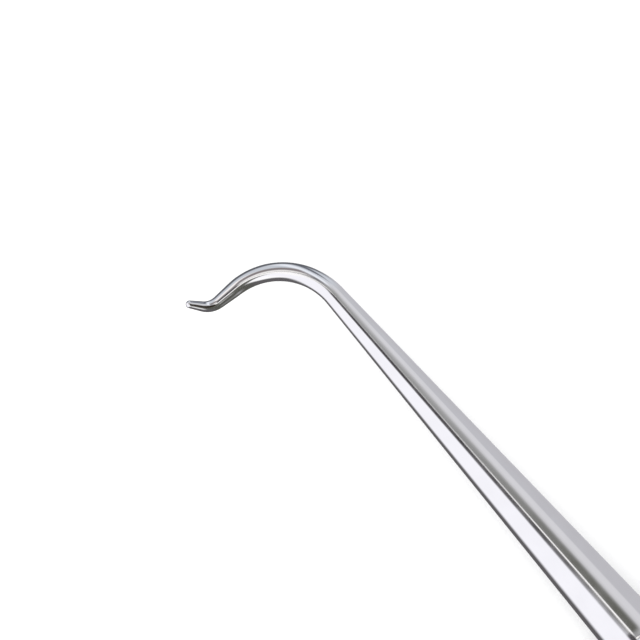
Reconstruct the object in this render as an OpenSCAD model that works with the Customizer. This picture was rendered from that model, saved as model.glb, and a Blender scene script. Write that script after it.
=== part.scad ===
// Double-ended dental explorer with a hollow handle and two screw-in working ends.
// The handle lies along X and rests on one flat of its eight-sided middle, which is at Z = 0.
// End A points to +X, its hook turns to +Y and its foot lifts to +Z. End B points to -X, turns
// to -Y and lifts to -Z, so the two ends are a left and right pair.

/* [Handle] */
// Distance across the flats of the eight-sided middle
flats_width = 10; // [9.8:0.1:11]
// Length of the eight-sided middle, chamfers included
flats_length = 40; // [30:1:40]
// Length of the tube, without the two noses
tube_length = 86; // [86:1:96]
// Outer diameter of the tube under the fingers
grip_diameter = 9; // [8.8:0.1:9.2]
// Bore of the hollow tube
tube_bore = 6.6; // [6.2:0.1:6.8]
// Diameter of the two turned bands at the root of their knurl
knurl_diameter = 9.2; // [9.1:0.1:9.5]
// Length of one knurled band
knurl_length = 4; // [3:0.5:4]

/* [Finger rings] */
// Silicone rings under the fingers at each end
ring_count = 6; // [4:1:6]
// Distance from one ring to the next
ring_pitch = 2.2; // [1.8:0.1:2.2]
// Width of a ring's groove
ring_width = 1.1; // [0.9:0.05:1.3]
// Outer diameter of a ring, just inside the flats so that the handle rests on its flats
ring_diameter = 9.8; // [9.5:0.05:9.8]
// Depth of the groove under the tube's surface
ring_groove = 0.6; // [0.4:0.05:0.7]
// Width of the wider colour-code ring
code_width = 2.4; // [1.5:0.1:2.6]

/* [Nose and thread] */
// Length of the rounded nose outside the tube
nose_length = 6; // [5:0.5:8]
// Diameter of the nose's end face
nose_end = 6.2; // [6.1:0.1:6.8]
// Length of the plug that is pressed into the tube
plug_length = 6; // [6:0.5:10]
// Major diameter of the tip's thread
thread_diameter = 3; // [2.6:0.1:3.2]
// Length of the threaded stud
thread_length = 6; // [4:0.5:6]

/* [Working end] */
// Diameter of the shank where it leaves its collar
shank_base = 4.2; // [3.6:0.1:4.4]
// Length of the straight tapering shank
shank_length = 30.4; // [24:0.2:36]
// Radius of the big bend
bend_radius = 4.8; // [4:0.1:7]
// Angle of the big bend
bend_angle = 88; // [80:1:100]
// Straight arm between the two bends
arm_length = 1.45; // [0.4:0.05:2]
// Radius of the small bend that turns the foot back
foot_radius = 1.3; // [1.2:0.05:2.4]
// Angle of the small bend
foot_angle = 52; // [40:1:60]
// Roll of the small bend about the arm, which lifts the foot out of the hook's plane
foot_roll = 27; // [0:1:35]
// Straight foot, up to its rounded end
foot_length = 1.2; // [0.7:0.05:1.4]
// Thickness at the start of the big bend
bend_thickness = 1.48; // [1.4:0.02:1.7]
// Thickness at the middle of the big bend
crown_thickness = 1.29; // [1.2:0.01:1.4]
// Thickness where the big bend runs into the arm
arm_thickness = 1.1; // [1:0.02:1.2]
// Thickness where the arm runs into the small bend
heel_thickness = 0.88; // [0.8:0.02:1]
// Thickness of the foot where the small bend ends
foot_thickness = 0.7; // [0.6:0.02:0.8]
// Thickness at the foot's rounded end
end_thickness = 0.48; // [0.4:0.02:0.6]

/* [Hidden] */
$fn = 96;
SIDES = ["a", "b"];

steel = "#c9ccd1";
polished = "#e4e6ea";
silicone = "#3f4a55";
code_colour = "#2f7f8c";
seal_colour = "#26282b";

axis_z = flats_width / 2;
corner_radius = axis_z / cos(22.5);
tube_radius = grip_diameter / 2;
tube_end = tube_length / 2;
groove_radius = tube_radius - ring_groove;
knurl_chamfer = 0.3;
bevel_length = 1.5;
bevel_angle = 33;

// How far a cut runs past the face it opens, and how far two cuts that meet run into each other
overcut = 1;
overlap = 0.01;

// Places along the handle, measured from its middle
band_gap = 1;
ring_gap = 1.6;
knurl_start = flats_length / 2 + band_gap;
code_start = knurl_start + knurl_length + band_gap;
ring_start = code_start + code_width + ring_gap;
seat_face = tube_end + nose_length;

// The press fit of the plug in the tube, and the running clearance of the stud
press = 0.01;
clearance = 0.04;

collar_length = 2.2;
collar_radius = 3;
collar_flats = 5;
collar_chamfer = 0.3;
stud_chamfer = 0.3;
neck_radius = 1.9;
neck_length = 0.95;
cone_seat_length = 1.5;
stud_radius = thread_diameter / 2;
stud_end = seat_face - neck_length - cone_seat_length - thread_length;
drill_run_out = 0.6;
stud_hole_end = stud_end - drill_run_out;
seal_section = 0.35;
seal_gap = 0.03;
seal_radius = neck_radius + seal_gap + seal_section;
seal_pocket_radius = seal_radius + seal_section + seal_gap;
seal_pocket_depth = 0.86;

// The bent wire after the shank: an arc, a short arm, a tighter arc back, and the foot
bend_run = bend_radius * bend_angle * PI / 180;
foot_run = foot_radius * foot_angle * PI / 180;
arm_start = bend_run;
foot_bend_start = arm_start + arm_length;
foot_start = foot_bend_start + foot_run;
hook_run = foot_start + foot_length;
hook_x = seat_face + collar_length + shank_length;
hook_sides = 20;
hook_steps = 44;
cap_steps = 6;
root_overlap = 0.5;
root_step = 0.02;
thickness_along_hook = [
    [-root_overlap, bend_thickness - root_step],
    [0, bend_thickness],
    [bend_run / 2, crown_thickness],
    [arm_start, arm_thickness],
    [foot_bend_start, heel_thickness],
    [foot_start, foot_thickness],
    [hook_run, end_thickness]
];

// Turn of the centreline at a distance along the hook, in degrees: in the big bend, and in the foot
function bend_turn(s) = max(0, min(s / bend_radius * 180 / PI, bend_angle));
function foot_turn(s) = max(0, min((s - foot_bend_start) / foot_radius * 180 / PI, foot_angle));

// Place on an arc that starts at the origin heading along X
function arc_place(radius, angle) = radius * [sin(angle), 1 - cos(angle)];

function turned(p, angle) = [
    p.x * cos(angle) - p.y * sin(angle),
    p.x * sin(angle) + p.y * cos(angle)
];

// Rolls a point about X, so that what lies towards -Y lifts towards +Z
function rolled(p, angle) = [
    p.x,
    p.y * cos(angle) + p.z * sin(angle),
    p.z * cos(angle) - p.y * sin(angle)
];

arm_place = arc_place(bend_radius, bend_angle);
arm_end = arm_place + turned([arm_length, 0], bend_angle);

// Place of the centreline in the hook's plane, up to the end of the arm
function hook_centre(s) =
    s < 0 ? [s, 0]
    : s < arm_start ? arc_place(bend_radius, bend_turn(s))
    : arm_place + turned([s - arm_start, 0], bend_angle);

// Place of the centreline from the arm's end on, which heads along X and turns back towards -Y
function foot_centre(s) = arc_place(-foot_radius, -foot_turn(s))
    + turned([max(0, s - foot_start), 0], -foot_turn(s));

cap_radius = end_thickness / 2;
function hook_radius(s) =
    s < hook_run - cap_radius ? lookup(s, thickness_along_hook) / 2
    : sqrt(max(0, cap_radius ^ 2 - (s - hook_run + cap_radius) ^ 2));

// Stations of the rings: even steps along the wire, then closer ones round the end cap
hook_stations = concat(
    [for (i = [0:hook_steps])
        -root_overlap + (hook_run - cap_radius + root_overlap) * i / hook_steps],
    [for (i = [1:cap_steps - 1])
        hook_run - cap_radius + cap_radius * sin(90 * i / cap_steps)]
);

// A point on the ring round a centreline place, at an angle from the hook's plane
function ring_point(c, turn, r, angle) = [
    c.x - r * cos(angle) * sin(turn),
    c.y + r * cos(angle) * cos(turn),
    r * sin(angle)
];

function on_arm_end(p) = [each arm_end + turned(p, bend_angle), p.z];

// A point on the hook's surface, or on its centreline where r is 0
function hook_point(s, r, angle, roll) =
    s <= foot_bend_start ? ring_point(hook_centre(s), bend_turn(s), r, angle)
    : on_arm_end(rolled(ring_point(foot_centre(s), -foot_turn(s), r, angle + roll), roll));

module on_side(side) rotate([0, 0, side == "b" ? 180 : 0]) children();

// A round bar or cone on the handle's axis, from x0 to x1
module bar(x0, x1, r0, r1) {
    translate([x0, 0, axis_z]) rotate([0, 90, 0])
        cylinder(h = x1 - x0, r1 = r0, r2 = is_undef(r1) ? r0 : r1);
}

// Turns a profile of [radius, distance] about the handle's axis
module turned_about_axis() {
    translate([0, 0, axis_z]) rotate([0, 90, 0]) rotate_extrude() children();
}

module groove(x0, x1, floor_radius) {
    difference() {
        bar(x0, x1, corner_radius + overcut);
        bar(x0 - overcut, x1 + overcut, floor_radius);
    }
}

// The eight-sided middle, whose bevelled ends run down into the round tube
module eight_sided_middle() {
    difference() {
        translate([-flats_length / 2, 0, axis_z]) rotate([0, 90, 0]) rotate([0, 0, 22.5])
            cylinder(h = flats_length, r = corner_radius, $fn = 8);
        for (side = SIDES, turn = [0:45:315])
            on_side(side) translate([flats_length / 2 - bevel_length, 0, axis_z])
                rotate([turn, 0, 0]) translate([0, -corner_radius, axis_z])
                    rotate([0, bevel_angle, 0]) cube(2 * corner_radius);
    }
}

module knurled_band(x0) {
    r = knurl_diameter / 2;
    x1 = x0 + knurl_length;
    bar(x0, x0 + knurl_chamfer, r - knurl_chamfer, r);
    bar(x0 + knurl_chamfer, x1 - knurl_chamfer, r);
    bar(x1 - knurl_chamfer, x1, r, r - knurl_chamfer);
}

function ring_centre(i) = ring_start + (i - 0.5) * ring_width
    + (i - 1) * (ring_pitch - ring_width);

module handle_tube() {
    color(steel) difference() {
        union() {
            bar(-tube_end, tube_end, tube_radius);
            eight_sided_middle();
            for (side = SIDES) on_side(side) knurled_band(knurl_start);
        }
        bar(-tube_end - overcut, tube_end + overcut, tube_bore / 2);
        for (side = SIDES) on_side(side) {
            groove(code_start, code_start + code_width, groove_radius);
            for (i = [1:ring_count])
                groove(ring_centre(i) - ring_width / 2,
                       ring_centre(i) + ring_width / 2, groove_radius);
        }
    }
}

// Nose and threaded socket, one turned piece that is pressed into the tube
module nose_socket(side) {
    drop = tube_radius - nose_end / 2;
    nose_arc = (nose_length ^ 2 + drop ^ 2) / (2 * drop);
    color(steel) on_side(side) difference() {
        union() {
            bar(tube_end - plug_length, tube_end, tube_bore / 2 + press);
            turned_about_axis() intersection() {
                translate([tube_radius - nose_arc, tube_end]) circle(r = nose_arc, $fn = 200);
                translate([0, tube_end]) square([tube_radius + overcut, nose_length]);
            }
        }
        bar(seat_face - seal_pocket_depth, seat_face + overcut, seal_pocket_radius);
        bar(seat_face - neck_length - cone_seat_length, seat_face - neck_length,
            stud_radius + clearance, neck_radius + clearance);
        bar(seat_face - neck_length - overlap, seat_face, neck_radius + clearance);
        bar(stud_hole_end, seat_face - neck_length, stud_radius + clearance);
    }
}

// Silicone ring: square where it sits in its groove, round where the fingers touch it
module finger_ring(side, i) {
    half = ring_width / 2;
    crown = ring_diameter / 2 - half;
    color(silicone) on_side(side) turned_about_axis() translate([0, ring_centre(i)]) union() {
        intersection() {
            translate([crown, 0]) circle(r = half);
            translate([crown, -half]) square([half, ring_width]);
        }
        translate([groove_radius, -half]) square([crown - groove_radius, ring_width]);
    }
}

module code_ring(side) {
    crown = 0.15;
    color(code_colour) on_side(side) difference() {
        union() {
            bar(code_start, code_start + crown, tube_radius, tube_radius + crown);
            bar(code_start + crown, code_start + code_width - crown, tube_radius + crown);
            bar(code_start + code_width - crown, code_start + code_width,
                tube_radius + crown, tube_radius);
        }
        bar(code_start - overcut, code_start + code_width + overcut, groove_radius);
    }
}

module tip_seal(side) {
    color(seal_colour) on_side(side) turned_about_axis()
        translate([seal_radius, seat_face - seal_pocket_depth / 2]) circle(r = seal_section);
}

// The bent wire, swept along its centreline. A negative roll mirrors it.
module hook(roll) {
    rings = len(hook_stations);
    last = rings * hook_sides;
    points = concat(
        [for (s = hook_stations, k = [0:hook_sides - 1])
            hook_point(s, hook_radius(s), 360 * k / hook_sides, roll)],
        [hook_point(-root_overlap, 0, 0, roll), hook_point(hook_run, 0, 0, roll)]
    );
    walls = [for (i = [0:rings - 2], k = [0:hook_sides - 1])
        let (j = (k + 1) % hook_sides, a = i * hook_sides, b = a + hook_sides)
        each [[a + k, b + k, a + j], [a + j, b + k, b + j]]];
    root = [for (k = [0:hook_sides - 1]) [last, k, (k + 1) % hook_sides]];
    cap = [for (k = [0:hook_sides - 1])
        [last + 1, last - hook_sides + (k + 1) % hook_sides, last - hook_sides + k]];
    translate([hook_x, 0, axis_z]) polyhedron(points, concat(walls, root, cap), convexity = 6);
}

module collar() {
    face = seat_face + clearance;
    end = seat_face + collar_length;
    width = 2 * collar_radius;
    difference() {
        union() {
            bar(face, end - collar_chamfer, collar_radius);
            bar(end - collar_chamfer, end, collar_radius, collar_radius - collar_chamfer);
        }
        for (turn = [0, 180])
            translate([seat_face, 0, axis_z]) rotate([turn, 0, 0])
                translate([-collar_radius, -collar_radius, collar_flats / 2]) cube(width);
    }
}

// One piece of steel: threaded stud, cone seat, neck, collar, tapering shank and hook
module tip(side) {
    cone_end = seat_face - neck_length;
    cone_start = cone_end - cone_seat_length;
    color(polished) on_side(side) union() {
        bar(stud_end, stud_end + stud_chamfer, stud_radius - stud_chamfer, stud_radius);
        bar(stud_end + stud_chamfer, cone_start, stud_radius);
        bar(cone_start, cone_end, stud_radius, neck_radius);
        bar(cone_end, seat_face + clearance, neck_radius);
        collar();
        bar(seat_face + collar_length, hook_x, shank_base / 2, bend_thickness / 2);
        hook(side == "a" ? foot_roll : -foot_roll);
    }
}

handle_tube();
for (s = SIDES) {
    nose_socket(s);
    tip(s);
    tip_seal(s);
    code_ring(s);
    for (i = [1:ring_count])
        finger_ring(s, i);
}
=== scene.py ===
"""Looks for the double-ended dental explorer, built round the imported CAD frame.

The handle lies along X on the floor at Z = 0. End A points to +X and end B to -X. The frame is in
metres. Sizes below are in millimetres, and become metres as each mesh is made.
"""

import math

import bmesh
import bpy
import numpy as np
from mathutils import Matrix, Vector


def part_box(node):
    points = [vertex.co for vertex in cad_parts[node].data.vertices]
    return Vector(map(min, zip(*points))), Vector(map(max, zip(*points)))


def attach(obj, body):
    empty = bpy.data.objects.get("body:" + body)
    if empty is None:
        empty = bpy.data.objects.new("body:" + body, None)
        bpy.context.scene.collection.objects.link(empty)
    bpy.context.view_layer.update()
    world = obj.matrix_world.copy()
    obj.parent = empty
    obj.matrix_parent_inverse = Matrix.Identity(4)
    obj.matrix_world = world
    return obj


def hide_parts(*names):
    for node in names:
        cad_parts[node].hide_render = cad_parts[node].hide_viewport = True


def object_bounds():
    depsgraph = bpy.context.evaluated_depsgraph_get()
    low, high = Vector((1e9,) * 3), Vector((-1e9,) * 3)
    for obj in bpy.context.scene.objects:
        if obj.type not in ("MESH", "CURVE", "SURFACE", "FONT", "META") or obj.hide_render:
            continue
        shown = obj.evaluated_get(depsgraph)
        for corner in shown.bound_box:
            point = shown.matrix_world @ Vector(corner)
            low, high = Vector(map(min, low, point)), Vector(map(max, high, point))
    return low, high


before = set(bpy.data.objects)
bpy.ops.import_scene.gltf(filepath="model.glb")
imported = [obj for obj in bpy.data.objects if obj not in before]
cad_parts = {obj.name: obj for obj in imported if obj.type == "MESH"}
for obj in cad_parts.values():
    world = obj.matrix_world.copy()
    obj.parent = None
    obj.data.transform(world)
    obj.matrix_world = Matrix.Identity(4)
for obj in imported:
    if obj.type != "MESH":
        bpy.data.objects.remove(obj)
cad_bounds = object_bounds()

MM = 0.001
TURN = 2 * math.pi
SIDES = ("a", "b")
RING_NUMBERS = range(1, 7)

# Places along the handle and the height of its axis, worked out from the CAD frame
TUBE_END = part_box("handle_tube")[1].x / MM
AXIS_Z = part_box("handle_tube")[1].z / MM / 2
SEAT_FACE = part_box("nose_socket_a")[1].x / MM
PLUG_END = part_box("nose_socket_a")[0].x / MM
STUD_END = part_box("tip_a")[0].x / MM
RING_STARTS = [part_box(f"finger_ring_a{i}")[0].x / MM for i in RING_NUMBERS]
RING_WIDTH = (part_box("finger_ring_a1")[1].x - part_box("finger_ring_a1")[0].x) / MM
CODE_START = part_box("code_ring_a")[0].x / MM
CODE_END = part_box("code_ring_a")[1].x / MM

# Handle tube
FLAT_COUNT = 8
FLAT_HEIGHT = AXIS_Z
FLATS_END = 20.0
BEVEL_LENGTH = 1.5
BEVEL_SLOPE = math.tan(math.radians(33))
LAND_RADIUS = 5.34
TUBE_RADIUS = 4.5
GROOVE_RADIUS = 3.9
BORE_RADIUS = 3.3
BORE_LEAD = 0.3

# Knurled bands
KNURL_START = 21.0
KNURL_END = 25.0
KNURL_PLAY = 0.02
KNURL_SEAT = 4.3
KNURL_ROOT = 4.58
KNURL_CREST = 4.82
KNURL_COUNT = 40
KNURL_ANGLE = math.radians(30)
KNURL_FLANK = 1.5

# Nose, and the socket in it
NOSE_END_RADIUS = 3.1
PLUG_RADIUS = 3.3
POCKET_RADIUS = 2.66
POCKET_DEPTH = 0.86
CLEARANCE = 0.04
DRILL_SPARE = 0.6
DRILL_END = STUD_END - DRILL_SPARE

# Stud, thread, cone seat and neck of a tip. The thread's crest and flank are shares of its pitch.
NECK_RADIUS = 1.9
NECK_LENGTH = 0.95
CONE_LENGTH = 1.5
CONE_RUN_IN = 0.05
CONE_END = SEAT_FACE - NECK_LENGTH
CONE_START = CONE_END - CONE_LENGTH
STUD_RADIUS = 1.5
STUD_POINT_RADIUS = 1.2
STUD_CHAMFER = 0.3
THREAD_START = STUD_END + STUD_CHAMFER
THREAD_PITCH = 0.5
THREAD_DEPTH = 0.27
THREAD_EASE = 0.01
CREST_HALF = 1 / 16
FLANK_SHARE = 5 / 16

# Collar and shank
COLLAR_LENGTH = 2.2
COLLAR_RADIUS = 3.0
COLLAR_FLAT = 2.5
COLLAR_FLAT_LEAST_SINE = 0.1
COLLAR_CHAMFER = 0.3
SHANK_BASE = 2.1
SHANK_LENGTH = 30.4
SHANK_FILLET = 0.02
SHANK_FILLET_RUN = 0.15
SHANK_FILLET_DROP = 0.005
BEND_START = SEAT_FACE + COLLAR_LENGTH + SHANK_LENGTH

# The bent wire: an arc, a short arm, a tighter arc back and the foot
BEND_RADIUS = 4.8
BEND_ANGLE = math.radians(88)
ARM_LENGTH = 1.45
FOOT_RADIUS = 1.3
FOOT_ANGLE = math.radians(52)
FOOT_ROLL = math.radians(27)
FOOT_LENGTH = 1.2
ARM_START = BEND_RADIUS * BEND_ANGLE
FOOT_BEND_START = ARM_START + ARM_LENGTH
FOOT_START = FOOT_BEND_START + FOOT_RADIUS * FOOT_ANGLE
HOOK_RUN = FOOT_START + FOOT_LENGTH
END_RADIUS = 0.24

# Half thicknesses along the wire, from the bend's start, and how they are evened out
WIRE_PLACES = (-SHANK_LENGTH, 0, ARM_START / 2, ARM_START, FOOT_BEND_START, FOOT_START, HOOK_RUN)
WIRE_RADII = (SHANK_BASE, 0.74, 0.645, 0.55, 0.44, 0.35, END_RADIUS)
TAPER_BLEND = 0.4
BLEND_SAMPLES = 9

# Sides of the turned meshes, and the steps between their rows
ROUND_SIDES = 96
GRIP_SIDES = 192
KNURL_POINT_SIDES = 8
KNURL_STEP = 0.085
OGIVE_STEP = 0.3
MIDDLE_STEP = 1.5
BEVEL_STEP = 0.05
BORE_STEP = 4
THREAD_TURN_ROWS = 14
ROW_MARGIN = 0.1

# Rows along the wire, from the bend's start: coarse on the shank, fine from just before the bend
FIRST_WIRE_ROW = 0.2 - SHANK_LENGTH
COARSE_END = -1
COARSE_STEP = 0.6
FINE_START = -0.9
FINE_STEP = 0.08
END_CAP_DEGREES = range(6, 90, 6)

# Rounding of the corners, and the innermost ring of a flat end, which a fan of faces closes
STUD_ROUNDING = 0.08
COLLAR_ROUNDING = 0.1
PLUG_ROUNDING = 0.08
POCKET_ROUNDING = 0.06
GRIP_ROUNDING = 0.07
ROUNDING_STEPS = 4
CORNER_SHARE = 0.4
SUPPORT_SHARE = 0.3
CENTRE_RADIUS = 0.4

SHARP_ANGLE = math.radians(28)
MERGE_DISTANCE = 1e-8


# ---------------------------------------------------------------- meshes

def new_piece(name, points, loop=False):
    """Mesh from rows of points round an axis. The rows close into a loop, or their ends are capped."""
    rows, sides = points.shape[:2]
    verts = [tuple(p) for p in (points * MM).reshape(-1, 3)]
    faces = []
    for i in range(rows if loop else rows - 1):
        a, b = i * sides, (i + 1) % rows * sides
        for k in range(sides):
            j = (k + 1) % sides
            faces.append((a + k, b + k, b + j, a + j))
    if not loop:
        last = (rows - 1) * sides
        for start, turn in ((0, 1), (last, -1)):
            middle = points[start // sides].mean(axis=0) * MM
            verts.append(tuple(middle))
            for k in range(sides):
                faces.append((len(verts) - 1, start + k, start + (k + 1) % sides)[::turn])
    mesh = bpy.data.meshes.new(name)
    mesh.from_pydata(verts, [], faces)
    finish_mesh(mesh)
    piece = bpy.data.objects.new(name, mesh)
    bpy.context.scene.collection.objects.link(piece)
    return piece


def finish_mesh(mesh):
    """Outward normals, smooth faces and sharp edges where the surface really turns."""
    work = bmesh.new()
    work.from_mesh(mesh)
    bmesh.ops.remove_doubles(work, verts=work.verts, dist=MERGE_DISTANCE)
    bmesh.ops.recalc_face_normals(work, faces=work.faces)
    for face in work.faces:
        face.smooth = True
    for edge in work.edges:
        edge.smooth = edge.calc_face_angle(0) < SHARP_ANGLE
    work.to_mesh(mesh)
    work.free()
    mesh.update()


def softened(profile, size):
    """Rounds the corners of a profile of (x, radius) points, with a support point beside each corner."""
    points = [np.array(p, float) for p in profile]
    made = [points[0]]
    for before, corner, after in zip(points, points[1:], points[2:]):
        back, on = before - corner, after - corner
        room = CORNER_SHARE * np.linalg.norm(back), CORNER_SHARE * np.linalg.norm(on)
        reach = min(size, *room)
        start = corner + back / np.linalg.norm(back) * reach
        end = corner + on / np.linalg.norm(on) * reach
        made.append(start + (start - corner) * SUPPORT_SHARE)
        for t in np.linspace(0, 1, ROUNDING_STEPS + 1):
            made.append((1 - t) ** 2 * start + 2 * t * (1 - t) * corner + t ** 2 * end)
        made.append(end + (end - corner) * SUPPORT_SHARE)
    return np.array(made + [points[-1]])


def turned(profile, sides, shape=None):
    """Rows of points round the handle's axis from (x, radius) pairs.

    shape(x, radius, angle) may change the radius.
    """
    angle = np.arange(sides) * TURN / sides
    x = np.repeat(profile[:, :1], sides, axis=1)
    radius = np.repeat(profile[:, 1:2], sides, axis=1)
    if shape:
        radius = shape(x, radius, angle[None, :])
    return np.stack([x, radius * np.cos(angle), AXIS_Z + radius * np.sin(angle)], axis=2)


def on_side(points, side):
    """The same points on end A, or turned half round the vertical onto end B."""
    return points if side == "a" else points * np.array([-1, -1, 1])


def fine(start, end, step):
    """Even places from start to end, both included."""
    return np.linspace(start, end, max(2, int(round(abs(end - start) / step)) + 1))


# ---------------------------------------------------------------- thread

def thread_drop(x, angle):
    """Depth of the right-hand thread under its major radius. It runs out at both ends."""
    phase = (x / THREAD_PITCH - angle / TURN) % 1
    flank = np.clip((np.abs(phase - 0.5) - CREST_HALF) / FLANK_SHARE, 0, 1)
    run_in = np.clip((x - THREAD_START) / THREAD_PITCH, 0, 1)
    run_out = np.clip((CONE_START - x) / THREAD_PITCH, 0, 1)
    return THREAD_DEPTH * flank * (run_in * run_out)


def thread_rows(start, end, radius):
    """Profile points along a threaded length, close enough together for its flanks."""
    return [(x, radius) for x in fine(start, end, THREAD_PITCH / THREAD_TURN_ROWS)]


# ---------------------------------------------------------------- working end

def turn_z(angle):
    """Rotation about the vertical."""
    return np.array(Matrix.Rotation(angle, 3, "Z"))


def hook_place(s, roll):
    """Centre of the wire at a distance from the bend's start, and its three axes as columns."""
    turn = min(max(s / BEND_RADIUS, 0), BEND_ANGLE)
    arc = BEND_RADIUS * np.array([math.sin(turn), 1 - math.cos(turn), 0])
    if s <= FOOT_BEND_START:
        straight = np.array([min(s, 0) + max(s - ARM_START, 0), 0, 0])
        return arc + turn_z(turn) @ straight, turn_z(turn)
    back = min((s - FOOT_BEND_START) / FOOT_RADIUS, FOOT_ANGLE)
    foot = FOOT_RADIUS * np.array([math.sin(back), math.cos(back) - 1, 0])
    foot = foot + turn_z(-back) @ np.array([max(s - FOOT_START, 0), 0, 0])
    lift = turn_z(BEND_ANGLE) @ np.array(Matrix.Rotation(-roll, 3, "X"))
    arm_end = arc + turn_z(BEND_ANGLE) @ np.array([ARM_LENGTH, 0, 0])
    axes = lift @ turn_z(-back) @ np.array(Matrix.Rotation(roll, 3, "X"))
    return arm_end + lift @ foot, axes


def wire_radius(s):
    """Radius of the wire, averaged over 0.8 mm so that its taper changes softly, with a round end."""
    nearby = s + np.linspace(-TAPER_BLEND, TAPER_BLEND, BLEND_SAMPLES)
    radius = np.interp(nearby, WIRE_PLACES, WIRE_RADII).mean()
    into_end = s - (HOOK_RUN - END_RADIUS)
    if into_end > 0:
        radius = radius * math.sqrt(max(0, 1 - (into_end / END_RADIUS) ** 2))
    return radius


def hook_rows(roll):
    """Rings along the shank and the bent wire, closer together where it bends and round its end."""
    cap_start = HOOK_RUN - END_RADIUS
    shank = fine(FIRST_WIRE_ROW, COARSE_END, COARSE_STEP)
    bends = fine(FINE_START, cap_start, FINE_STEP)
    cap = [cap_start + END_RADIUS * math.sin(math.radians(a)) for a in END_CAP_DEGREES]
    angle = np.arange(ROUND_SIDES) * TURN / ROUND_SIDES
    rows = []
    for s in [*shank, *bends, *cap]:
        centre, axes = hook_place(s, roll)
        around = np.outer(np.cos(angle), axes[:, 1]) + np.outer(np.sin(angle), axes[:, 2])
        rows.append(centre + wire_radius(s) * around + np.array([BEND_START, 0, AXIS_Z]))
    return np.array(rows)


def tip_profile():
    """Profile of the stud, cone seat, neck and collar, up to the foot of the shank."""
    collar_start = SEAT_FACE + CLEARANCE
    collar_end = SEAT_FACE + COLLAR_LENGTH
    crest = STUD_RADIUS - THREAD_EASE
    stud = softened([
        (STUD_END, CENTRE_RADIUS),
        (STUD_END, STUD_POINT_RADIUS),
        (THREAD_START, STUD_RADIUS - 2 * THREAD_EASE),
    ], STUD_ROUNDING)
    thread = thread_rows(THREAD_START, CONE_START, crest)
    rest = softened([
        (CONE_START, crest),
        (CONE_START + CONE_RUN_IN, STUD_RADIUS),
        (CONE_END, NECK_RADIUS),
        (collar_start, NECK_RADIUS),
        (collar_start, COLLAR_RADIUS),
        (collar_end - COLLAR_CHAMFER, COLLAR_RADIUS),
        (collar_end, COLLAR_RADIUS - COLLAR_CHAMFER),
        (collar_end, SHANK_BASE + SHANK_FILLET),
        (collar_end + SHANK_FILLET_RUN, SHANK_BASE - SHANK_FILLET_DROP),
    ], COLLAR_ROUNDING)
    return np.array([*stud, *thread, *rest])


def tip_shape(x, radius, angle):
    """Cuts the thread into the stud and the two spanner flats into the collar."""
    radius = radius - thread_drop(x, angle)
    flat = COLLAR_FLAT / np.maximum(np.abs(np.sin(angle)), COLLAR_FLAT_LEAST_SINE)
    return np.where(x > SEAT_FACE, np.minimum(radius, flat), radius)


def make_tip(side):
    """One piece of steel: stud, cone seat, neck, collar, shank and hook. End B's foot dips."""
    roll = FOOT_ROLL if side == "a" else -FOOT_ROLL
    rows = np.concatenate([turned(tip_profile(), ROUND_SIDES, tip_shape), hook_rows(roll)])
    return new_piece(f"working_end_{side}", on_side(rows, side))


# ---------------------------------------------------------------- handle

def ogive_rows():
    """Profile points along the rounded outside of the nose."""
    drop = TUBE_RADIUS - NOSE_END_RADIUS
    length = SEAT_FACE - TUBE_END
    arc = (length ** 2 + drop ** 2) / (2 * drop)
    places = fine(OGIVE_STEP, length - ROW_MARGIN, OGIVE_STEP)
    return [(TUBE_END + x, TUBE_RADIUS - arc + math.sqrt(arc ** 2 - x ** 2)) for x in places]


def nose_profile():
    """Profile of the nose and its socket, from the plug's end round to the bottom of the hole."""
    ogive = ogive_rows()
    hole = STUD_RADIUS + CLEARANCE
    neck_hole = NECK_RADIUS + CLEARANCE
    pocket_end = SEAT_FACE - POCKET_DEPTH
    outside = softened([
        (PLUG_END, CENTRE_RADIUS),
        (PLUG_END, PLUG_RADIUS),
        (TUBE_END, PLUG_RADIUS),
        (TUBE_END, TUBE_RADIUS),
        ogive[0],
    ], PLUG_ROUNDING)
    face = softened([
        ogive[-1],
        (SEAT_FACE, NOSE_END_RADIUS),
        (SEAT_FACE, POCKET_RADIUS),
        (pocket_end, POCKET_RADIUS),
        (pocket_end, neck_hole),
        (CONE_END, neck_hole),
        (CONE_START, hole),
    ], POCKET_ROUNDING)
    thread = thread_rows(CONE_START - CONE_RUN_IN, DRILL_END + ROW_MARGIN, hole)
    bottom = [(DRILL_END, hole), (DRILL_END, CENTRE_RADIUS)]
    return np.array([*outside, *ogive[1:-1], *face, *thread, *bottom])


def nose_shape(x, radius, angle):
    """Cuts the internal thread, which keeps a running clearance round the stud's."""
    inside = (radius < STUD_RADIUS + 2 * CLEARANCE) & (x > DRILL_END)
    return np.where(inside, radius - thread_drop(x, angle), radius)


def make_nose(side):
    """Rounded nose and threaded socket, pressed into the tube."""
    rows = turned(nose_profile(), ROUND_SIDES, nose_shape)
    return new_piece(f"nose_{side}", on_side(rows, side))


def grip_profile():
    """Half of the tube's outside, from the eight-sided middle out to its end."""
    bevel_start = FLATS_END - BEVEL_LENGTH
    middle = [(x, TUBE_RADIUS) for x in fine(0, bevel_start - ROW_MARGIN, MIDDLE_STEP)]
    bevel = [(x, TUBE_RADIUS) for x in fine(bevel_start, FLATS_END, BEVEL_STEP)]
    corners = [
        bevel[-1],
        (KNURL_START, TUBE_RADIUS),
        (KNURL_START, KNURL_SEAT),
        (KNURL_END, KNURL_SEAT),
        (KNURL_END, TUBE_RADIUS),
    ]
    grooves = [(CODE_START, CODE_END)] + [(x, x + RING_WIDTH) for x in RING_STARTS]
    for start, end in grooves:
        corners += [(start, TUBE_RADIUS), (start, GROOVE_RADIUS)]
        corners += [(end, GROOVE_RADIUS), (end, TUBE_RADIUS)]
    corners += [(TUBE_END, TUBE_RADIUS), (TUBE_END, BORE_RADIUS + BORE_LEAD)]
    return np.array([*middle, *bevel[:-1], *softened(corners, GRIP_ROUNDING)])


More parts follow.
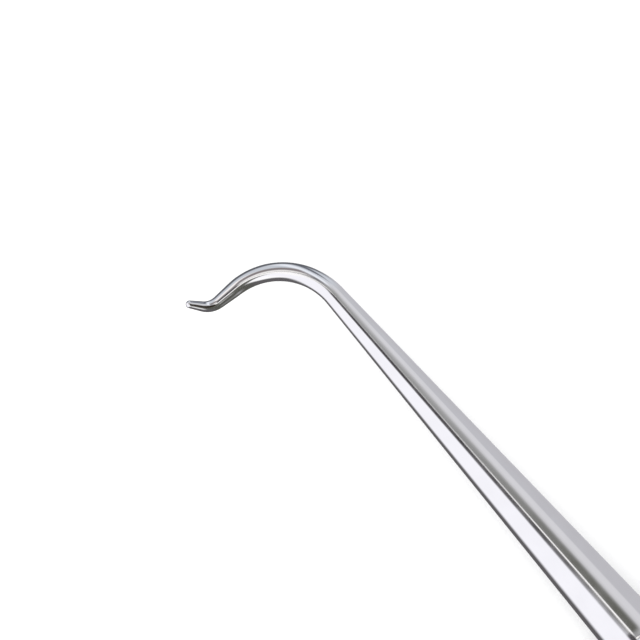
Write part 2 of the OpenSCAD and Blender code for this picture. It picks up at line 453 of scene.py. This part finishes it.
def grip_shape(x, radius, angle):
    """Raises the eight flats out of the tube, with narrow turned lands at their corners."""
    step = TURN / FLAT_COUNT
    from_flat = (angle + step / 2) % step - step / 2
    into_bevel = np.maximum(np.abs(x) - (FLATS_END - BEVEL_LENGTH), 0)
    flats = np.minimum((FLAT_HEIGHT - BEVEL_SLOPE * into_bevel) / np.cos(from_flat), LAND_RADIUS)
    outside = (np.abs(x) < FLATS_END) & (radius > BORE_RADIUS)
    return np.where(outside, np.maximum(radius, flats), radius)


def make_grip():
    """The hollow tube, with its eight-sided middle, ring grooves and bore."""
    half = grip_profile()
    other = half[:0:-1] * np.array([-1, 1])
    bore = np.array([(x, BORE_RADIUS) for x in fine(TUBE_END, -TUBE_END, BORE_STEP)])
    profile = np.concatenate([other, half, bore])
    return new_piece("grip_tube", turned(profile, GRIP_SIDES, grip_shape), loop=True)


def knurl_shape(x, radius, angle):
    """Diamond knurl: two crossed sets of grooves, with flat-topped points."""
    slant = KNURL_COUNT * math.tan(KNURL_ANGLE) / (TURN * KNURL_CREST)
    along = angle / TURN * KNURL_COUNT
    one = np.abs(((along + np.abs(x) * slant) % 1) * 2 - 1)
    two = np.abs(((along - np.abs(x) * slant) % 1) * 2 - 1)
    height = np.clip(KNURL_FLANK * np.minimum(one, two), 0, 1)
    cut = radius - (KNURL_CREST - KNURL_ROOT) * (1 - height)
    return np.where(radius > KNURL_ROOT, np.maximum(cut, KNURL_ROOT), radius)


def make_knurl(side):
    """Knurled band round the tube, with chamfered ends."""
    chamfer = KNURL_CREST - KNURL_ROOT
    start, end = KNURL_START + KNURL_PLAY, KNURL_END - KNURL_PLAY
    crest = [(x, KNURL_CREST) for x in fine(start + chamfer, end - chamfer, KNURL_STEP)]
    profile = [(start, KNURL_SEAT), (start, KNURL_ROOT), *crest, (end, KNURL_ROOT), (end, KNURL_SEAT)]
    rows = turned(np.array(profile), KNURL_COUNT * KNURL_POINT_SIDES, knurl_shape)
    return new_piece(f"knurl_{side}", on_side(rows, side), loop=True)


# ---------------------------------------------------------------- studio

# The picture's directions in the CAD frame: rightwards, upwards, and towards the camera
HEADING = math.radians(131.4)
RIGHT = Vector((math.cos(HEADING), -math.sin(HEADING), 0))
UP = Vector((math.sin(HEADING), math.cos(HEADING), 0))
TOWARDS = Vector((0, 0, 1))


def shown(*levels):
    """Linear colour of a shade given as 0-255 display levels."""
    return [(v / 255 / 12.92) if v < 10.3 else ((v / 255 + 0.055) / 1.055) ** 2.4 for v in levels]


# What the polished steel mirrors, from the back of the studio to the front: a shade, and the
# edges that bound it. An edge is a direction (azimuth in the picture, tilt towards the camera)
# and the range of the mirrored ray's share along it over which the shade fades in.
PANELS = (
    # Grey walls, lit brighter on the right and dimming towards the camera
    ((186, 185, 190), ()),
    ((209, 208, 212), ((0, 90, 0.24, 0.42), (42, 0, 0.1, 0.4))),
    ((150, 150, 150), ((0, 90, 0.63, 1.1),)),
    # Pale ceiling over the top, with a small white lamp
    ((198, 202, 210), ((118, 0, 0.2, 0.5),)),
    ((244, 240, 240), ((138, 44, 0.91, 0.975),)),
    # Dark gap between ceiling and wall, and the light strip inside it
    (
        (100, 103, 112),
        ((358, -21, 0.11, 0.24), (358, -21, 0.42, 0.3), (140, 0, 0.0, 0.09), (0, 90, 0.42, 0.3)),
    ),
    (
        (232, 235, 243),
        ((358, -21, -0.2, -0.09), (358, -21, 0.13, 0.0), (140, 0, 0.02, 0.1), (70, 0, 0.3, 0.5)),
    ),
    # Brownish card over the camera
    (
        (132, 125, 126),
        (
            (0, 90, 0.96, 0.88),
            (0, 90, 0.52, 0.72),
            (110, 0, 0.2, 0.35),
            (0, 0, 0.2, 0.1),
            (0, 0, -0.52, -0.42),
        ),
    ),
    # Dark narrow beam that runs up from the camera
    (
        (108, 107, 113),
        ((335, 0, -0.08, -0.04), (335, 0, 0.03, -0.03), (132, 0, 0.09, 0.12), (65, 0, 0.5, 0.35)),
    ),
    # Dark room behind the object, at the upper left
    ((92, 94, 100), ((0, 75, -0.1, -0.5), (130, 0, 0.1, 0.35))),
    # Dark lower side of the room
    ((84, 84, 79), ((280, 0, 0.1, 0.3), (0, 0, 0.62, 0.5))),
    ((92, 92, 86), ((350, 71, 0.86, 0.96), (132, 0, 0.07, 0.03), (0, 0, 0.58, 0.52))),
    # Dark brown spot beside the camera
    ((46, 39, 34), ((345, 68, 0.94, 0.975),)),
    # Dark left-hand side of the room, under the key
    ((94, 92, 94), ((215, 0, 0.1, 0.3), (250, 0, -0.3, 0.0))),
    # White key softbox, in three overlapping parts
    (
        (254, 253, 255),
        ((225, 0, 0.19, 0.25), (0, 0, 0.34, 0.25), (181, 25, -0.14, 0.0), (0, 90, 0.1, 0.45)),
    ),
    (
        (245, 244, 250),
        ((225, 0, 0.19, 0.25), (0, 0, 0.34, 0.25), (180, 23.5, 0.1, 0.4), (0, 90, -0.62, -0.25)),
    ),
    (
        (254, 252, 252),
        (
            (240, 0, -0.06, 0.0),
            (335, 0, 0.14, 0.06),
            (0, 0, -0.2, -0.1),
            (132, 0, 0.075, 0.05),
            (0, 90, 0.5, 0.7),
        ),
    ),
    # Lit sheet straight above the camera
    (
        (250, 246, 244),
        (
            (131, 0, 0.11, 0.13),
            (90, 0, 0.5, 0.15),
            (335, 0, -0.06, -0.1),
            (0, 0, -0.25, -0.15),
            (0, 90, 0.7, 0.8),
        ),
    ),
    # Dark arms of the camera's stand across the key's corner
    (
        (68, 66, 68),
        ((132, 0, 0.0, 0.05), (222, 0, 0.05, 0.1), (222, 0, 0.46, 0.3), (132, 0, 0.4, 0.3)),
    ),
    (
        (84, 82, 84),
        ((132, 0, 0.05, 0.075), (132, 0, 0.14, 0.11), (222, 0, 0.03, 0.08), (222, 0, 0.2, 0.1)),
    ),
    (
        (72, 70, 72),
        ((222, 0, 0.03, 0.09), (222, 0, 0.16, 0.1), (132, 0, 0.06, 0.1), (132, 0, 0.42, 0.3)),
    ),
)


def edge_factor(nodes, links, direction, edge):
    """Node output that goes from 0 to 1 across one panel edge."""
    azimuth, tilt, low, high = edge
    flat = math.cos(math.radians(tilt))
    normal = (
        RIGHT * math.cos(math.radians(azimuth)) * flat
        + UP * math.sin(math.radians(azimuth)) * flat
        + TOWARDS * math.sin(math.radians(tilt))
    )
    share = nodes.new("ShaderNodeVectorMath")
    share.operation = "DOT_PRODUCT"
    share.inputs[1].default_value = normal
    links.new(direction, share.inputs[0])
    fade = nodes.new("ShaderNodeMapRange")
    fade.interpolation_type = "SMOOTHSTEP"
    fade.inputs["From Min"].default_value = low
    fade.inputs["From Max"].default_value = high
    links.new(share.outputs["Value"], fade.inputs["Value"])
    return fade.outputs["Result"]


def panel_factor(nodes, links, direction, edges):
    """Node output that is 1 inside all of a panel's edges and 0 outside any of them."""
    factor = edge_factor(nodes, links, direction, edges[0])
    for edge in edges[1:]:
        both = nodes.new("ShaderNodeMath")
        both.operation = "MULTIPLY"
        links.new(factor, both.inputs[0])
        links.new(edge_factor(nodes, links, direction, edge), both.inputs[1])
        factor = both.outputs[0]
    return factor


def mirrored_studio(nodes, links):
    """Colour output of the panels as the steel mirrors them, by the ray's direction alone."""
    direction = nodes.new("ShaderNodeTexCoord").outputs["Generated"]
    backdrop = PANELS[0][0]
    colour = None
    for shade, edges in PANELS[1:]:
        mix = nodes.new("ShaderNodeMix")
        mix.data_type = "RGBA"
        if colour is None:
            mix.inputs["A"].default_value = (*shown(*backdrop), 1)
        else:
            links.new(colour, mix.inputs["A"])
        mix.inputs["B"].default_value = (*shown(*shade), 1)
        links.new(panel_factor(nodes, links, direction, edges), mix.inputs["Factor"])
        colour = mix.outputs["Result"]
    return colour


def plain_background(nodes, strength):
    """Shader output of an even white background."""
    background = nodes.new("ShaderNodeBackground")
    background.inputs["Color"].default_value = (1, 1, 1, 1)
    background.inputs["Strength"].default_value = strength
    return background.outputs[0]


def chosen(nodes, links, factor, no, yes):
    """Shader output that is no where the factor is 0 and yes where it is 1."""
    mix = nodes.new("ShaderNodeMixShader")
    links.new(factor, mix.inputs["Fac"])
    links.new(no, mix.inputs[1])
    links.new(yes, mix.inputs[2])
    return mix.outputs[0]


def make_world():
    """White behind the object, the studio's panels in its reflections, and a soft fill for the rest."""
    world = bpy.data.worlds.new("studio")
    bpy.context.scene.world = world
    world.use_nodes = True
    nodes, links = world.node_tree.nodes, world.node_tree.links
    nodes.clear()
    ray = nodes.new("ShaderNodeLightPath")
    panels = nodes.new("ShaderNodeBackground")
    panels.inputs["Strength"].default_value = 1.06
    links.new(mirrored_studio(nodes, links), panels.inputs["Color"])
    fill = plain_background(nodes, strength=0.85)
    white = plain_background(nodes, strength=1.0)
    lit = chosen(nodes, links, ray.outputs["Is Glossy Ray"], fill, panels.outputs[0])
    seen = chosen(nodes, links, ray.outputs["Is Camera Ray"], lit, white)
    output = nodes.new("ShaderNodeOutputWorld")
    links.new(seen, output.inputs["Surface"])
    world.cycles.sampling_method = "NONE"


def make_light():
    """Large overhead softbox that lights every piece and the floor, and isn't mirrored itself."""
    height = 0.9
    light = bpy.data.lights.new("overhead", "AREA")
    light.shape = "SQUARE"
    light.size = 0.7
    light.energy = 6.0
    lamp = bpy.data.objects.new("overhead", light)
    bpy.context.scene.collection.objects.link(lamp)
    middle = (cad_bounds[0] + cad_bounds[1]) / 2
    lamp.location = (middle.x, middle.y, height)
    lamp.visible_camera = False
    lamp.visible_glossy = False


def make_floor():
    """Plain pale floor under the handle."""
    mesh = bpy.data.meshes.new("floor")
    half = 4.0
    corners = [(-half, -half, 0), (half, -half, 0), (half, half, 0), (-half, half, 0)]
    mesh.from_pydata(corners, [], [(0, 1, 2, 3)])
    floor = bpy.data.objects.new("floor", mesh)
    bpy.context.scene.collection.objects.link(floor)
    floor.visible_glossy = False
    material, shader = new_material("pale_floor")[:2]
    shader.inputs["Base Color"].default_value = (0.93, 0.93, 0.93, 1)
    shader.inputs["Roughness"].default_value = 0.9
    shader.inputs["Specular IOR Level"].default_value = 0.0
    mesh.materials.append(material)


def make_camera():
    """Long lens straight above the hook, turned so that end A points up and to the left."""
    lens = 400
    sensor = 36
    field = 42.67 * MM
    before_bend = 0.52
    beside_axis = 1.818
    aim = Vector((BEND_START - before_bend, beside_axis, AXIS_Z)) * MM
    data = bpy.data.cameras.new("camera")
    data.lens = lens
    data.sensor_width = sensor
    data.clip_start = 0.01
    data.clip_end = 20
    camera = bpy.data.objects.new("camera", data)
    bpy.context.scene.collection.objects.link(camera)
    axes = Matrix((RIGHT, UP, TOWARDS)).transposed().to_4x4()
    camera.matrix_world = Matrix.Translation(aim + TOWARDS * field * lens / sensor) @ axes
    bpy.context.scene.camera = camera


# ---------------------------------------------------------------- materials

# Nearly all of a noise texture's values lie between these
NOISE_LOW = 0.3
NOISE_HIGH = 0.7


def new_material(name):
    """A material with nodes, its main shader, and its nodes and links."""
    material = bpy.data.materials.new(name)
    material.use_nodes = True
    nodes, links = material.node_tree.nodes, material.node_tree.links
    return material, nodes["Principled BSDF"], nodes, links


def noise(nodes, links, scale, detail=3, stretch=(1, 1, 1)):
    """Noise over the object's own metres, with its scale multiplied along each axis by stretch."""
    place = nodes.new("ShaderNodeTexCoord")
    mapping = nodes.new("ShaderNodeMapping")
    mapping.inputs["Scale"].default_value = stretch
    links.new(place.outputs["Object"], mapping.inputs["Vector"])
    texture = nodes.new("ShaderNodeTexNoise")
    texture.inputs["Scale"].default_value = scale
    texture.inputs["Detail"].default_value = detail
    links.new(mapping.outputs["Vector"], texture.inputs["Vector"])
    return texture.outputs["Fac"]


def ranged(nodes, links, value, low, high):
    """The value's middle range spread from low to high."""
    spread = nodes.new("ShaderNodeMapRange")
    spread.inputs["From Min"].default_value = NOISE_LOW
    spread.inputs["From Max"].default_value = NOISE_HIGH
    spread.inputs["To Min"].default_value = low
    spread.inputs["To Max"].default_value = high
    links.new(value, spread.inputs["Value"])
    return spread.outputs["Result"]


def tinted(nodes, links, value, low, high):
    """A colour between two others, by the value's middle range."""
    ramp = nodes.new("ShaderNodeValToRGB")
    ramp.color_ramp.elements[0].position = NOISE_LOW
    ramp.color_ramp.elements[0].color = (*low, 1)
    ramp.color_ramp.elements[1].position = NOISE_HIGH
    ramp.color_ramp.elements[1].color = (*high, 1)
    links.new(value, ramp.inputs["Fac"])
    return ramp.outputs["Color"]


def bumped(nodes, links, shader, value, distance, strength):
    """Raises the surface by the value, over the distance in metres."""
    bump = nodes.new("ShaderNodeBump")
    bump.inputs["Strength"].default_value = strength
    bump.inputs["Distance"].default_value = distance
    links.new(value, bump.inputs["Height"])
    links.new(bump.outputs["Normal"], shader.inputs["Normal"])


def polished_steel():
    """Mirror-polished stainless steel with a slight haze."""
    material, shader, nodes, links = new_material("polished_steel_finish")
    shader.inputs["Metallic"].default_value = 1.0
    haze = noise(nodes, links, scale=700)
    tint = tinted(nodes, links, haze, low=(0.93, 0.93, 0.935), high=(0.96, 0.96, 0.965))
    links.new(tint, shader.inputs["Base Color"])
    links.new(ranged(nodes, links, haze, low=0.06, high=0.11), shader.inputs["Roughness"])
    polish = noise(nodes, links, scale=2500, detail=4, stretch=(0.08, 1, 1))
    bumped(nodes, links, shader, polish, distance=0.00001, strength=0.02)
    return material


def satin_steel():
    """Turned stainless steel with a fine brushed grain round the handle."""
    material, shader, nodes, links = new_material("satin_steel_finish")
    shader.inputs["Metallic"].default_value = 1.0
    grain = noise(nodes, links, scale=900, detail=5, stretch=(8, 0.35, 0.35))
    wear = noise(nodes, links, scale=90)
    tint = tinted(nodes, links, wear, low=(0.7, 0.7, 0.71), high=(0.8, 0.8, 0.81))
    links.new(tint, shader.inputs["Base Color"])
    links.new(ranged(nodes, links, grain, low=0.28, high=0.42), shader.inputs["Roughness"])
    bumped(nodes, links, shader, grain, distance=0.00002, strength=0.15)
    return material


def silicone(name, low, high):
    """Moulded silicone or rubber: soft sheen, faint mottling and a fine matt skin."""
    material, shader, nodes, links = new_material(name)
    mottle = noise(nodes, links, scale=350)
    skin = noise(nodes, links, scale=6000, detail=2)
    links.new(tinted(nodes, links, mottle, low, high), shader.inputs["Base Color"])
    links.new(ranged(nodes, links, mottle, low=0.45, high=0.6), shader.inputs["Roughness"])
    bumped(nodes, links, shader, skin, distance=0.00004, strength=0.3)
    return material


# ---------------------------------------------------------------- assembly

def dress(piece, body, slot, material, *nodes):
    """Gives a new piece its body and its material, and hides the CAD nodes it stands for."""
    piece.data.materials.append(material)
    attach(piece, body)
    if nodes:
        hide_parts(*nodes)


def repaint(node, material):
    """Gives a CAD node that stays as it is a detailed finish."""
    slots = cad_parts[node].material_slots
    slots[0].material = material


def build():
    """Makes every new piece and finish, end by end."""
    steel = polished_steel()
    satin = satin_steel()
    finger = silicone("finger_silicone_finish", (0.035, 0.045, 0.056), (0.055, 0.066, 0.08))
    code = silicone("code_silicone_finish", (0.01, 0.16, 0.2), (0.02, 0.23, 0.27))
    seal = silicone("seal_rubber_finish", (0.012, 0.012, 0.013), (0.022, 0.022, 0.024))
    dress(make_grip(), "handle", "satin_steel", satin, "handle_tube")
    for side in SIDES:
        dress(make_tip(side), f"tip_{side}", "polished_steel", steel, f"tip_{side}")
        dress(make_nose(side), "handle", "satin_steel", satin, f"nose_socket_{side}")
        dress(make_knurl(side), "handle", "satin_steel", satin)
        repaint(f"tip_seal_{side}", seal)
        repaint(f"code_ring_{side}", code)
        for i in RING_NUMBERS:
            repaint(f"finger_ring_{side}{i}", finger)


build()
make_floor()
make_world()
make_light()
make_camera()
bpy.context.scene.view_settings.view_transform = "Standard"
